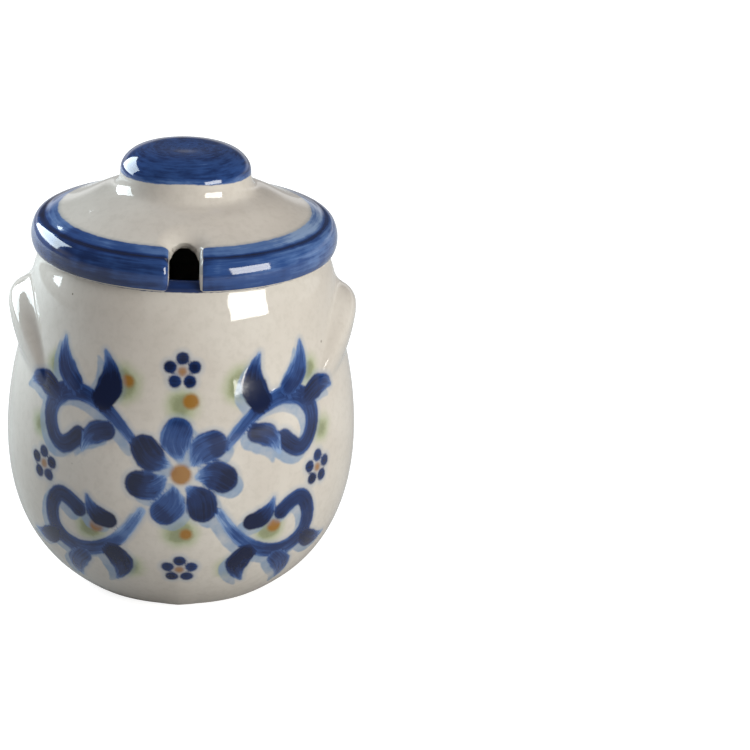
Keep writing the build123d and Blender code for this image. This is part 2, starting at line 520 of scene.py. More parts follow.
@dataclass
class Painting:
    """Lays strokes on a surface whose vertices have a place across and up from the design's middle.

    Attributes:
        count: how many vertices the surface has.
        reach: how far outside a stroke's edge its distance is still kept, in mm.
        lane: how far apart the strokes' brush marks are taken from the same noise, in mm.
        layers: each layer's values. cobalt, wash and edge hold the distance inside a stroke's edge in mm,
            along and aside the place in the stroke on top in mm, load how thick its paint lies, and the
            others how much of the paint there is, from 0 to 1.
    """

    count: int
    reach: float = 6.0
    lane: float = 40.0
    layers: dict[str, np.ndarray] = field(default_factory=dict)

    def __post_init__(self) -> None:
        """Starts with a bare surface."""
        for name in ("cobalt", "wash", "edge"):
            self.layers[name] = np.full(self.count, -self.reach)
        for name in ("green", "ochre", "peach", "lemon", "along", "aside", "load"):
            self.layers[name] = np.zeros(self.count)

    def lay(self, strokes: Sequence[Stroke], index: np.ndarray, spots: np.ndarray) -> None:
        """Lays strokes on part of the surface, one over another.

        Args:
            strokes: the strokes, those underneath first.
            index: which vertices the part has.
            spots: their places across and up, in mm.
        """
        for number, stroke in enumerate(strokes):
            line, half = stroke.trail()
            margin = half.max() + self.reach + 1
            near = np.all((spots > line.min(axis=0) - margin) & (spots < line.max(axis=0) + margin), axis=1)
            if not near.any():
                continue
            inside, along, aside = self.measure(line, half, spots[near])
            self.merge(stroke, number, index[near], inside, along, aside)

    @staticmethod
    def measure(line: np.ndarray, half: np.ndarray,
                spots: np.ndarray) -> tuple[np.ndarray, np.ndarray, np.ndarray]:
        """Measures places against a stroke.

        Args:
            line: the stroke's middle line.
            half: its half width at each point of the line.
            spots: the places.

        Returns:
            How far each place is inside the stroke's edge, how far along it and how far to its side, in mm.
        """
        start, step = line[:-1], np.diff(line, axis=0)
        length = np.hypot(*step.T)
        way = step / length[:, None]
        run = np.r_[0.0, np.cumsum(length)][:-1]
        offset = spots[:, None, :] - start[None]
        ahead = np.clip(np.einsum("ijk,jk->ij", offset, way), 0, length)
        gap = offset - ahead[..., None] * way
        share = ahead / length
        inside = half[:-1] * (1 - share) + half[1:] * share - np.hypot(gap[..., 0], gap[..., 1])
        best = inside.argmax(axis=1)
        row = np.arange(len(spots))
        side = way[best, 0] * offset[row, best, 1] - way[best, 1] * offset[row, best, 0]
        return inside[row, best], (run[best] + ahead[row, best]), side

    def merge(self, stroke: Stroke, number: int, index: np.ndarray, inside: np.ndarray, along: np.ndarray,
              aside: np.ndarray) -> None:
        """Puts one measured stroke into its layer.

        Args:
            stroke: the stroke.
            number: its place in the order, which gives it brush marks of its own.
            index: which vertices were measured.
            inside: how far each is inside the edge, in mm.
            along: how far along the stroke it is, in mm.
            aside: how far to its side, in mm.
        """
        layers = self.layers
        if stroke.paint is Paint.WASH:
            layers["wash"][index] = np.maximum(layers["wash"][index], inside)
            return
        if stroke.paint is not Paint.COBALT:
            soft = SPREAD[stroke.paint]
            amount = eased(inside, -soft, soft * 0.8) * stroke.load
            name = stroke.paint.value
            layers[name][index] = np.maximum(layers[name][index], amount)
            return
        total = layers["cobalt"][index]
        on_top = (inside > 0) | (inside > total)
        top = index[on_top]
        layers["along"][top] = along[on_top] + self.lane * number
        layers["aside"][top] = aside[on_top]
        share = along[on_top] / max(float(along.max()), 1.0)
        full_head, used_up, unsteady = 1.38, 0.88, 0.11
        dip = unsteady * np.sin(1.9 * number + 4.5 * share)
        layers["load"][top] = stroke.load * (full_head - used_up * share) + dip
        layers["edge"][top] = inside[on_top]
        layers["cobalt"][index] = np.maximum(total, inside)


# ------------------------------------------------------------------ the jar
@dataclass
class Jar:
    """The jar with its two lugs, foot ring and rounded rim, thrown and joined as one skin of clay.

    Attributes:
        outline: the outer wall from the foot up, as (radius, height) in mm.
        rim_radius: outer edge of the rim.
        rim_round: the rim is a half round, two of these thick.
        height: top of the rim.
        wall: thickness of the wall.
        floor_radius: flat part of the floor inside.
        floor_height: top of the floor.
        foot_radius: outer edge of the resting ring.
        ring_width: width of the resting ring.
        recess: how far the underside is hollowed inside the ring.
        front_middle: height of the front design's middle.
        back_middle: height of the back design's middle.
        lug_proud: how far the right and the left lug stand out.
        lug_half: half of a lug's length, in degrees round the jar.
        lug_nose: height of a lug's ridge line at its middle.
        lug_drop: how much lower that line is at the lug's tips.
        lug_rise: half height of a lug at its tips, and how much more it has in the middle.
        lug_swell: a lug's section, as (share of its half height from the ridge line, share of lug_proud): a
            long slope below the nose and a steep one above it.
        slack: how far the wall lies inside the drawn line, which leaves room for its unevenness.
        waver: size of the slow waves that handwork leaves in the wall.
        ridge_half: half width of the ridge where the mould's halves met.
        ridge: height of that ridge, and how much more it has at the foot.
        turns: repeats of the half section round the jar.
    """

    outline: tuple[Point, ...] = ((34.1, 0), (43.3, 7), (52.5, 19), (58.6, 37), (59.85, 56), (57.45, 76.5),
                                  (53.3, 96.5), (50.3, 112.0))
    rim_radius: float = 48.6
    rim_round: float = 2.4
    height: float = 120.5
    wall: float = 5.0
    floor_radius: float = 30.0
    floor_height: float = 7.5
    foot_radius: float = 34.1
    ring_width: float = 5.5
    recess: float = 1.5
    front_middle: float = 57.0
    back_middle: float = 55.0
    lug_proud: tuple[float, float] = (6.0, 6.5)
    lug_half: float = 36.0
    lug_nose: float = 96.25
    lug_drop: float = 16.0
    lug_rise: tuple[float, float] = (2.5, 10.9)
    lug_swell: tuple[Point, ...] = ((-1.2, 0), (-1.0, 0.01), (-0.8, 0.2), (-0.585, 0.46), (-0.366, 0.69),
                                    (-0.147, 0.87), (0.05, 0.98), (0.2, 0.99), (0.37, 0.87), (0.56, 0.51),
                                    (0.74, 0.15), (0.92, 0.01), (1.3, 0))
    slack: float = 0.22
    waver: float = 0.05
    ridge_half: float = 6.5
    ridge: tuple[float, float] = (0.16, 0.75)
    turns: int = 440

    def outer_wall(self, spacing: float) -> np.ndarray:
        """The outside from the foot to the widest line of the rim."""
        side = (self.rim_radius, self.height - self.rim_round)
        return spline([*self.outline, side], spacing, (3, 2), (0, 1))

    def section(self) -> np.ndarray:
        """The half section, from the middle of the underside round to the middle of the floor.

        Returns:
            Its points, in mm.
        """
        ring_in = self.foot_radius - self.ring_width
        hollow = (ring_in - self.recess, self.recess)
        inner_foot, outer_foot = (ring_in, 0), (self.foot_radius, 0)
        outer = self.outer_wall(1.0)
        under = evenly(np.array([(0, self.recess), (hollow[0] - 1, self.recess)]), 5)
        curl = np.radians(np.linspace(0, 180, 12))
        rim = np.column_stack([self.rim_radius - self.rim_round + self.rim_round * np.cos(curl),
                               self.height - self.rim_round + self.rim_round * np.sin(curl)])
        knots = np.array(self.outline[1:])
        ahead = np.gradient(knots, axis=0)
        normal = np.column_stack([-ahead[:, 1], ahead[:, 0]]) / np.hypot(*ahead.T)[:, None]
        inside_knots = [tuple(p) for p in (knots + normal * self.wall)[::-1]]
        corner = (self.floor_radius, self.floor_height)
        inside = spline([tuple(rim[-1]), *inside_knots, corner], 4.0, (0, -1), (-1, 0))
        floor = evenly(np.array([corner, (0, self.floor_height)]), 5)
        foot = [turn(hollow, (0, self.recess), inner_foot, 0.8), turn(inner_foot, hollow, outer_foot, 0.5),
                turn(outer_foot, inner_foot, self.outline[1], 0.7)]
        return joined(under, *foot, outer[2:], rim[1:], inside[1:], floor[1:])

    def build(self) -> tuple[bpy.types.Object, Painting]:
        """Makes the jar and paints it.

        Returns:
            The jar and its painting.
        """
        piece = thrown("pot_jar", self.section(), self.turns)
        at = places(piece)
        radius, azimuth, height = np.hypot(at[:, 0], at[:, 1]), np.arctan2(at[:, 1], at[:, 0]), at[:, 2]
        wall = self.outer_wall(0.5)
        outside = (radius > np.interp(height, wall[:, 1], wall[:, 0]) - 1.2) & (height > 0.05)
        climb = np.r_[0.0, np.cumsum(np.hypot(*np.diff(wall, axis=0).T))]
        up = np.interp(height, wall[:, 1], climb)
        painting = Painting(len(at))
        designs = ((-math.pi / 2, FrontSpray, self.front_middle), (math.pi / 2, BackTulip, self.back_middle))
        for facing, design, middle in designs:
            away = (azimuth - facing + math.pi) % math.tau - math.pi
            index = np.nonzero(outside & (np.abs(away) < math.radians(80)))[0]
            spots = np.column_stack([away * radius, up - np.interp(middle, wall[:, 1], climb)])[index]
            painting.lay(design.strokes(), index, spots)
        for name, values in painting.layers.items():
            store(piece, name, values)
        raise_clay(piece, np.where(outside, self.lugs(azimuth, height), 0))
        self.soften(piece, outside)
        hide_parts("jar_body", "lug_right", "lug_left")
        return piece, painting

    def lugs(self, azimuth: np.ndarray, height: np.ndarray) -> np.ndarray:
        """How far the two crescent lugs stand out.

        Args:
            azimuth: direction of each place from the jar's axis, in radians.
            height: its height, in mm.

        Returns:
            How far the lugs raise each place, in mm.
        """
        total = np.zeros(len(azimuth))
        swell = spline(self.lug_swell, 0.02)
        for facing, proud in zip((0.0, math.pi), self.lug_proud):
            away = np.degrees((azimuth - facing + math.pi) % math.tau - math.pi) / self.lug_half
            bow = np.clip(1 - away ** 2, 0, 1)
            half_height = self.lug_rise[0] + self.lug_rise[1] * bow
            share = (height - (self.lug_nose - self.lug_drop * away ** 2)) / half_height
            total = np.maximum(total, proud * bow ** 1.1 * np.interp(share, swell[:, 0], swell[:, 1]))
        return total

    def soften(self, piece: bpy.types.Object, outside: np.ndarray) -> None:
        """Gives the wall the slight unevenness of handwork and the low ridge where the mould's halves met.

        Args:
            piece: the jar.
            outside: which of its vertices are on the outside.
        """
        at = places(piece)
        azimuth, height = np.arctan2(at[:, 1], at[:, 0]), at[:, 2]
        waves = (np.sin(2 * azimuth + 0.6) * np.sin(height / 23)
                 + 0.6 * np.sin(3 * azimuth + height / 17 + 1.9)
                 + 0.35 * np.sin(7 * azimuth - height / 9))
        waves = (self.waver * waves - self.slack) * eased(height, 0.3, 6) * (1 - eased(height, 104, 114))
        aside = np.abs(np.abs(azimuth) - math.pi / 2) * np.hypot(at[:, 0], at[:, 1])
        keel = self.ridge[0] + self.ridge[1] * np.exp(-height / 6)
        keel = keel * np.clip(1 - aside / self.ridge_half, 0, 1) * (1 - eased(height, 96, 110))
        grow = 1 + np.where(outside, waves + keel, 0) / np.maximum(np.hypot(at[:, 0], at[:, 1]), 1)
        at[:, :2] *= grow[:, None]
        set_places(piece, at)


# ------------------------------------------------------------------ the lid
@dataclass
class Lid:
    """The lid: roll, groove, dome, knob and flange as one skin, with the notch for the spoon.

    Heights are above the rim that the lid sits on.

    Attributes:
        rest: height of the lid's seat, in mm.
        top: the outside from the middle of the knob to the groove.
        roll: the roll from the groove to its widest line.
        lip: from the widest line round to the inside of the lip.
        flange_radius: outer radius of the flange.
        flange_wall: thickness of the flange.
        flange_depth: how far it hangs down.
        flange_root: where the dome's underside meets the flange.
        ceiling: height of the middle of the underside.
        notch_width: width of the notch.
        notch_end: distance from the lid's middle to the notch's closed end.
        bends: how far from each sharp corner between the lip and the ceiling its rounding starts.
        edge_round: radius of the notch's edges under the lid.
        dome_round: how much more it is on the dome.
        end_round: how much more it is at the notch's closed end, low and high in the wall.
        roll_round: how much more it is at the ends of the roll.
        clay_grain: size of the cells that the cut lid is made of before it is sponged.
        turns: repeats of the half section round the lid.
    """

    rest: float = 120.55
    top: tuple[Point, ...] = ((0, 31.3), (9, 31.68), (18.7, 29.4), (21.85, 25.0), (22.05, 22.6),
                              (22.6, 20.2), (23.7, 18.4), (25.6, 17.3), (28.6, 16.25), (36.0, 12.85),
                              (42.7, 9.95), (45.3, 8.95), (47.7, 7.95))
    roll: tuple[Point, ...] = ((47.7, 7.95), (49.2, 7.55), (51.25, 4.5), (51.7, 1.6))
    lip: tuple[Point, ...] = ((51.7, 1.6), (51.2, -1.4), (49.9, -2.9), (49.0, -1.93))
    flange_radius: float = 42.3
    flange_wall: float = 4.0
    flange_depth: float = 7.0
    flange_root: float = 5.0
    ceiling: float = 11.7
    notch_width: float = 9.8
    notch_end: float = 37.3
    bends: tuple[float, ...] = (0.7, 1.0, 1.3, 1.3, 1.8)
    edge_round: float = 0.8
    dome_round: float = 0.8
    end_round: tuple[float, float] = (1.2, 2.6)
    roll_round: float = 1.3
    clay_grain: float = 0.615
    turns: int = 360

    def section(self, spacing: float) -> np.ndarray:
        """The half section, from the middle of the knob round to the middle of the underside.

        Args:
            spacing: the distance wanted between points, in mm.

        Returns:
            Its points, in mm.
        """
        lip_in = self.lip[-1][0]
        inner = self.flange_radius - self.flange_wall
        outer, foot = self.flange_radius, -self.flange_depth
        corners = [(lip_in, 0.0), (outer, 0.0), (outer, foot), (inner, foot), (inner, self.flange_root)]
        steps = max(4, round(2 / spacing))
        under = spline([(inner, self.flange_root), (0, self.ceiling)], spacing, (-1, 1), (-1, 0))
        ends = [self.lip[-1], *corners, tuple(under[len(under) // 6])]
        bends = [turn(ends[k + 1], ends[k], ends[k + 2], size, steps) for k, size in enumerate(self.bends)]
        walls = []
        for first, second in zip(bends, bends[1:]):
            walls += [evenly(first, spacing), evenly(np.array([first[-1], second[0]]), spacing)]
        start = int(np.argmin(np.hypot(*(under - bends[-1][-1]).T))) + 1
        seen = [spline(self.top, spacing, (1, 0), (6, -1)), spline(self.roll, spacing, (6, -1), (0, -1)),
                spline(self.lip, spacing, (0, -1), (0, 1))]
        return joined(*seen, evenly(np.array([self.lip[-1], bends[0][0]]), spacing), *walls,
                      evenly(bends[-1], spacing), under[start:]) + (0, self.rest)

    def cutter(self) -> bpy.types.Object:
        """The U-shaped form that takes the notch out.

        Returns:
            The form, which reaches through the whole lid.
        """
        clear_selection()
        half = self.notch_width / 2
        middle = -(self.notch_end + half)
        bpy.ops.mesh.primitive_circle_add(vertices=64, radius=half * MM, fill_type="NGON",
                                          location=(0, middle * MM, (self.rest - 20) * MM))
        tool = bpy.context.object
        bpy.ops.object.transform_apply(location=True)
        for part in (tool.data.polygons, tool.data.edges):
            part.foreach_set("select", [False] * len(part))
        for vertex in tool.data.vertices:
            vertex.select = vertex.co.y < (middle + 0.01) * MM
        bpy.ops.object.mode_set(mode="EDIT")
        bpy.ops.transform.translate(value=(0, -20 * MM, 0))
        bpy.ops.mesh.select_all(action="SELECT")
        bpy.ops.mesh.extrude_region_move(TRANSFORM_OT_translate={"value": (0, 0, 50 * MM)})
        bpy.ops.mesh.select_all(action="SELECT")
        bpy.ops.mesh.normals_make_consistent(inside=False)
        bpy.ops.object.mode_set(mode="OBJECT")
        return tool

    def gap_cutter(self) -> bpy.types.Object:
        """The block that opens the flange below the notch.

        Returns:
            The block.
        """
        clear_selection()
        low, high = self.rest - 12, self.rest + self.flange_root
        bpy.ops.mesh.primitive_cube_add(size=MM, location=(0, -44 * MM, (low + high) / 2 * MM),
                                        scale=(self.notch_width, 22, high - low))
        bpy.ops.object.transform_apply(location=True, rotation=True, scale=True)
        return bpy.context.object

    def build(self) -> bpy.types.Object:
        """Makes the lid, cuts the notch and sponges its edges round.

        Returns:
            The lid.
        """
        piece = thrown("pot_lid", self.section(0.9), self.turns)
        for tool in (self.cutter(), self.gap_cutter()):
            apply(piece, "BOOLEAN", object=tool, operation="DIFFERENCE", solver="EXACT")
            take(tool)
            bpy.ops.object.delete()
        apply(piece, "REMESH", mode="VOXEL", voxel_size=self.clay_grain * MM, use_smooth_shade=True)
        self.sponge(piece)
        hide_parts("lid_shell", "lid_knob")
        return piece

    def sponge(self, piece: bpy.types.Object) -> None:
        """Settles every vertex on the true form, whose cut edges are rounded as with a wet sponge.

        Args:
            piece: the cut lid.
        """
        line = self.section(0.05)
        ahead = np.gradient(line, axis=0)
        normal = np.column_stack([-ahead[:, 1], ahead[:, 0]]) / np.hypot(*ahead.T)[:, None]
        tree = KDTree(len(line))
        for index, (r, z) in enumerate(line):
            tree.insert((r, z, 0), index)
        tree.balance()
        edges = np.empty(len(piece.data.edges) * 2, int)
        piece.data.edges.foreach_get("vertices", edges)
        edges = edges.reshape(-1, 2)
        at = places(piece)
        for sweep in range(7):
            if 0 < sweep < 5:
                at = at + 0.6 * (self.neighbours(at, edges) - at)
            flat = zip(np.hypot(at[:, 0], at[:, 1]), at[:, 2])
            nearest = np.array([tree.find((r, z, 0))[1] for r, z in flat])
            value, slope = self.form(at, line[nearest], normal[nearest])
            at = at - (value / (slope ** 2).sum(axis=1))[:, None] * slope
        set_places(piece, at)
        take(piece)
        bpy.ops.object.shade_smooth()
        normals = slope / np.linalg.norm(slope, axis=1)[:, None]
        piece.data.normals_split_custom_set_from_vertices(normals.tolist())

    @staticmethod
    def neighbours(at: np.ndarray, edges: np.ndarray) -> np.ndarray:
        """Finds the middle of each vertex's neighbours.

        Args:
            at: the vertices.
            edges: the two vertices of each edge.

        Returns:
            The middles.
        """
        total, count = np.zeros_like(at), np.zeros(len(at))
        for one, other in ((0, 1), (1, 0)):
            np.add.at(total, edges[:, one], at[edges[:, other]])
            np.add.at(count, edges[:, one], 1)
        return total / count[:, None]

    def form(self, at: np.ndarray, near: np.ndarray, normal: np.ndarray) -> tuple[np.ndarray, np.ndarray]:
        """Measures places against the finished form.

        Args:
            at: the places, in mm.
            near: the nearest point of the half section to each.
            normal: the section's outward normal there.

        Returns:
            How far outside the form each place is, and the slope of that distance.
        """
        radius = np.maximum(np.hypot(at[:, 0], at[:, 1]), 1e-6)
        out = at[:, :2] / radius[:, None]
        solid = (radius - near[:, 0]) * normal[:, 0] + (at[:, 2] - near[:, 1]) * normal[:, 1]
        solid_slope = np.column_stack([out * normal[:, :1], normal[:, 1]])
        half = self.notch_width / 2
        middle = -(self.notch_end + half)
        ahead = np.maximum(at[:, 1] - middle, 0)
        across = np.maximum(np.hypot(at[:, 0], ahead), 1e-6)
        slot = across - half
        slot_slope = np.column_stack([at[:, 0] / across, ahead / across, np.zeros(len(at))])
        height = at[:, 2] - self.rest
        side, over = np.abs(at[:, 0]) - half, height - self.flange_root
        gap = np.maximum(np.maximum(side, over), at[:, 1] + 33)
        sideways = np.column_stack([np.sign(at[:, 0]), at[:, 0] * 0, at[:, 0] * 0])
        gap_slope = np.where((side > over)[:, None], sideways, np.array([0, 0, 1.0]))
        first = slot < gap
        cut = -np.where(first, slot, gap)
        cut_slope = -np.where(first[:, None], slot_slope, gap_slope)
        closed_end = eased(at[:, 1], -44, -39)
        low, high = self.end_round
        soft = self.edge_round + (self.dome_round + low * closed_end) * eased(height, 1.0, 6.0)
        soft = soft + high * closed_end * eased(height, 6.5, 10.5) + self.roll_round * eased(radius, 46, 50)
        a, b = np.maximum(solid + soft, 0), np.maximum(cut + soft, 0)
        length = np.maximum(np.hypot(a, b), 1e-9)
        both = (a > 0) & (b > 0)
        value = np.where(both, length - soft, np.maximum(solid, cut))
        slope = np.where(both[:, None], (a[:, None] * solid_slope + b[:, None] * cut_slope) / length[:, None],
                         np.where((solid > cut)[:, None], solid_slope, cut_slope))
        return value, slope


# ------------------------------------------------------------------ glazes
Colour = tuple[float, float, float]
Socket = bpy.types.NodeSocket
COBALT = ((0.0, (0.25, 0.36, 0.57)), (0.22, (0.085, 0.165, 0.38)), (0.45, (0.025, 0.068, 0.225)),
          (0.72, (0.009, 0.026, 0.105)), (1.0, (0.004, 0.010, 0.045)))
"""The colours of cobalt under the glaze, from a watery brush at 0 to a full one at 1."""


class Graph:
    """Adds and wires the nodes of one tree."""

    def __init__(self, tree: bpy.types.NodeTree) -> None:
        """Keeps the tree to work on."""
        self.tree = tree

    def add(self, kind: str, **settings: object) -> bpy.types.Node:
        """Adds a shader node.

        Args:
            kind: its type without the first word.
            settings: its settings by name.

        Returns:
            The node.
        """
        node = self.tree.nodes.new("ShaderNode" + kind)
        for key, value in settings.items():
            setattr(node, key, value)
        return node

    def feed(self, socket: Socket, value: object) -> None:
        """Wires a socket to another one, or sets its own value.

        Args:
            socket: the input.
            value: the output to wire to it, or its value.
        """
        if isinstance(value, bpy.types.NodeSocket):
            self.tree.links.new(value, socket)
        elif isinstance(value, tuple) and len(value) == 3 and socket.type == "RGBA":
            socket.default_value = (*value, 1.0)
        else:
            socket.default_value = value

    def math(self, operation: str, *values: object) -> Socket:
        """Works out one number from others.

        Args:
            operation: what is done with them.
            values: the numbers.

        Returns:
            The result.
        """
        node = self.add("Math", operation=operation)
        for socket, value in zip(node.inputs, values):
            self.feed(socket, value)
        return node.outputs[0]

    def plus(self, first: object, second: object) -> Socket:
        """Adds two numbers."""
        return self.math("ADD", first, second)

    def minus(self, first: object, second: object) -> Socket:
        """Takes the second number from the first."""
        return self.math("SUBTRACT", first, second)

    def times(self, first: object, second: object) -> Socket:
        """Multiplies two numbers."""
        return self.math("MULTIPLY", first, second)

    def between(self, value: Socket, low: float, high: float, start: float = 0.0, end: float = 1.0) -> Socket:
        """Carries a number from one range to another with an even S.

        Args:
            value: the number.
            low: where the S starts.
            high: where it ends.
            start: what is given at low.
            end: what is given at high.

        Returns:
            The carried number.
        """
        node = self.add("MapRange", interpolation_type="SMOOTHSTEP")
        for socket, number in zip(node.inputs, (value, low, high, start, end)):
            self.feed(socket, number)
        return node.outputs[0]

    def mix(self, share: object, first: object, second: object) -> Socket:
        """Mixes two colours.

        Args:
            share: how much of the second.
            first: the first colour.
            second: the second.

        Returns:
            The mix.
        """
        node = self.add("Mix", data_type="RGBA")
        self.feed(node.inputs[0], share)
        self.feed(node.inputs[6], first)
        self.feed(node.inputs[7], second)
        return node.outputs[2]

    def blend(self, share: object, first: object, second: object) -> Socket:
        """Mixes two numbers.

        Args:
            share: how much of the second.
            first: the first number.
            second: the second.

        Returns:
            The mix.
        """
        node = self.add("Mix", data_type="FLOAT")
        for index, value in ((0, share), (2, first), (3, second)):
            self.feed(node.inputs[index], value)
        return node.outputs[0]

    def scaled(self, vector: Socket, by: float) -> Socket:
        """Scales a vector.

        Args:
            vector: the vector.
            by: the factor.

        Returns:
            The scaled vector.
        """
        node = self.add("VectorMath", operation="SCALE")
        self.feed(node.inputs["Scale"], by)
        self.feed(node.inputs[0], vector)
        return node.outputs[0]

    def vector(self, x: object, y: object, z: object) -> Socket:
        """Puts three numbers together.

        Args:
            x: the first.
            y: the second.
            z: the third.

        Returns:
            The vector.
        """
        node = self.add("CombineXYZ")
        for socket, value in zip(node.inputs, (x, y, z)):
            self.feed(socket, value)
        return node.outputs[0]

    def noise(self, vector: Socket, scale: float, detail: float = 2.0, roughness: float = 0.5) -> Socket:
        """Soft noise from 0 to 1.

        Args:
            vector: the place.
            scale: how many clouds there are to a unit.
            detail: how many finer layers.
            roughness: how strong those are.

        Returns:
            The noise.
        """
        node = self.add("TexNoise")
        values = {"Vector": vector, "Scale": scale, "Detail": detail, "Roughness": roughness}
        for name, value in values.items():
            self.feed(node.inputs[name], value)
        return node.outputs[0]

    def ramp(self, share: Socket, stops: Sequence[tuple[float, Colour]]) -> Socket:
        """Runs through a row of colours.

        Args:
            share: how far along.
            stops: each colour with its place in the row.

        Returns:
            The colour.
        """
        node = self.add("ValToRGB")
        row = node.color_ramp
        row.interpolation = "EASE"
        while len(row.elements) < len(stops):
            row.elements.new(0.5)
        for element, (place, colour) in zip(row.elements, stops):
            element.position = place
            element.color = (*colour, 1.0)
        self.feed(node.inputs[0], share)
        return node.outputs[0]

    def layer(self, name: str) -> Socket:
        """One of the painting's layers."""
        return self.add("Attribute", attribute_name=name).outputs["Fac"]


def effect(name: str, inputs: Sequence[tuple[str, str]], outputs: Sequence[tuple[str, str]],
           wire: Callable[[Graph, dict[str, Socket]], dict[str, Socket]]) -> bpy.types.NodeTree:
    """Builds a shader node group once.

    Args:
        name: the group's name.
        inputs: each input's name and kind, such as Float, Vector or Color.
        outputs: each output's name and kind.
        wire: adds the nodes, and gives each output's socket by name.

    Returns:
        The group.
    """
    if name in bpy.data.node_groups:
        return bpy.data.node_groups[name]
    tree = bpy.data.node_groups.new(name, "ShaderNodeTree")
    for way, sockets in (("INPUT", inputs), ("OUTPUT", outputs)):
        for label, kind in sockets:
            tree.interface.new_socket(label, in_out=way, socket_type="NodeSocket" + kind)
    start, end = tree.nodes.new("NodeGroupInput"), tree.nodes.new("NodeGroupOutput")
    made = wire(Graph(tree), {socket.name: socket for socket in start.outputs if socket.name})
    for label, socket in made.items():
        tree.links.new(socket, end.inputs[label])
    return tree


def use(graph: Graph, group: bpy.types.NodeTree, **values: object) -> dict[str, Socket]:
    """Places a group and feeds its inputs.

    Args:
        graph: the graph to add to.
        group: the group.
        values: what each input gets, by its name.

    Returns:
        The group's outputs by name.
    """
    node = graph.add("Group")
    node.node_tree = group
    for name, value in values.items():
        graph.feed(node.inputs[name.replace("_", " ")], value)
    return {socket.name: socket for socket in node.outputs}


def cream_ground() -> bpy.types.NodeTree:
    """Cream glaze over grey clay: soft clouds, fine mottling and brown iron specks.

    Returns:
        The node group.
    """

    def wire(g: Graph, given: dict[str, Socket]) -> dict[str, Socket]:
        """Adds the group's nodes.

        Args:
            g: the group's graph.
            given: its inputs by name.

        Returns:
            Its outputs by name.
        """
        place = given["Place"]
        shaded, rust = (0.40, 0.37, 0.32), (0.075, 0.045, 0.02)
        cloud = g.noise(place, scale=28, detail=3, roughness=0.55)
        fine = g.noise(place, scale=420, detail=2, roughness=0.6)
        cream = g.mix(g.between(cloud, 0.35, 0.66), given["Thin"], given["Thick"])
        mottled = g.mix(g.times(g.between(fine, 0.42, 0.72), 0.15), cream, shaded)
        cells = g.add("TexVoronoi", feature="F1")
        g.feed(cells.inputs["Vector"], place)
        g.feed(cells.inputs["Scale"], 86)
        pick = g.add("SeparateColor")
        g.feed(pick.inputs[0], cells.outputs["Color"])
        size = g.times(g.between(pick.outputs[0], 0.66, 1.0), 0.075)
        speck = g.minus(1.0, g.math("DIVIDE", cells.outputs["Distance"], g.math("MAXIMUM", size, 0.0005)))
        iron = g.times(g.between(speck, 0.0, 0.6), g.blend(pick.outputs[1], 0.25, 0.95))
        swell = g.noise(place, scale=110, detail=2, roughness=0.45)
        peel = g.noise(place, scale=700, detail=1, roughness=0.5)
        height = g.plus(g.times(swell, 0.034), g.times(peel, 0.0034))
        return {"Colour": g.mix(iron, mottled, rust), "Height": height}

    return effect("cream ground", [("Place", "Vector"), ("Thin", "Color"), ("Thick", "Color")],
                  [("Colour", "Color"), ("Height", "Float")], wire)


def brushed_cobalt() -> bpy.types.NodeTree:
    """Cobalt laid on with a soft brush: streaks along the stroke, pooled dark where it lies thick.

    Returns:
        The node group.
    """

    def wire(g: Graph, given: dict[str, Socket]) -> dict[str, Socket]:
        """Adds the group's nodes.

        Args:
            g: the group's graph.
            given: its inputs by name.

        Returns:
            Its outputs by name.
        """
        hairs = g.noise(given["Flow"], scale=1.0, detail=3, roughness=0.6)
        drift = g.noise(given["Place"], scale=160, detail=2, roughness=0.5)
        depth = g.plus(given["Load"], g.times(g.minus(hairs, 0.5), 0.62))
        depth = g.plus(depth, g.times(g.minus(drift, 0.5), 0.42))
        return {"Colour": g.ramp(depth, COBALT), "Height": g.times(hairs, 0.006)}

    return effect("brushed cobalt", [("Flow", "Vector"), ("Place", "Vector"), ("Load", "Float")],
                  [("Colour", "Color"), ("Height", "Float")], wire)


def ragged_edge() -> bpy.types.NodeTree:
    """Turns a distance in mm inside a painted edge into paint, with the small raggedness of a brush.

    Returns:
        The node group.
    """

    def wire(g: Graph, given: dict[str, Socket]) -> dict[str, Socket]:
        """Adds the group's nodes.

        Args:
            g: the group's graph.
            given: its inputs by name.

        Returns:
            Its outputs by name.
        """
        soft = given["Soft"]
        wander = g.times(g.minus(g.noise(given["Place"], scale=380, detail=2, roughness=0.6), 0.5), 0.7)
        inside = g.plus(given["Inside"], wander)
        paint = g.between(inside, g.times(soft, -1.0), soft)
        return {"Paint": paint, "Bleed": g.between(inside, g.times(soft, -4.5), 0.0)}

    return effect("ragged edge", [("Place", "Vector"), ("Inside", "Float"), ("Soft", "Float")],
                  [("Paint", "Float"), ("Bleed", "Float")], wire)


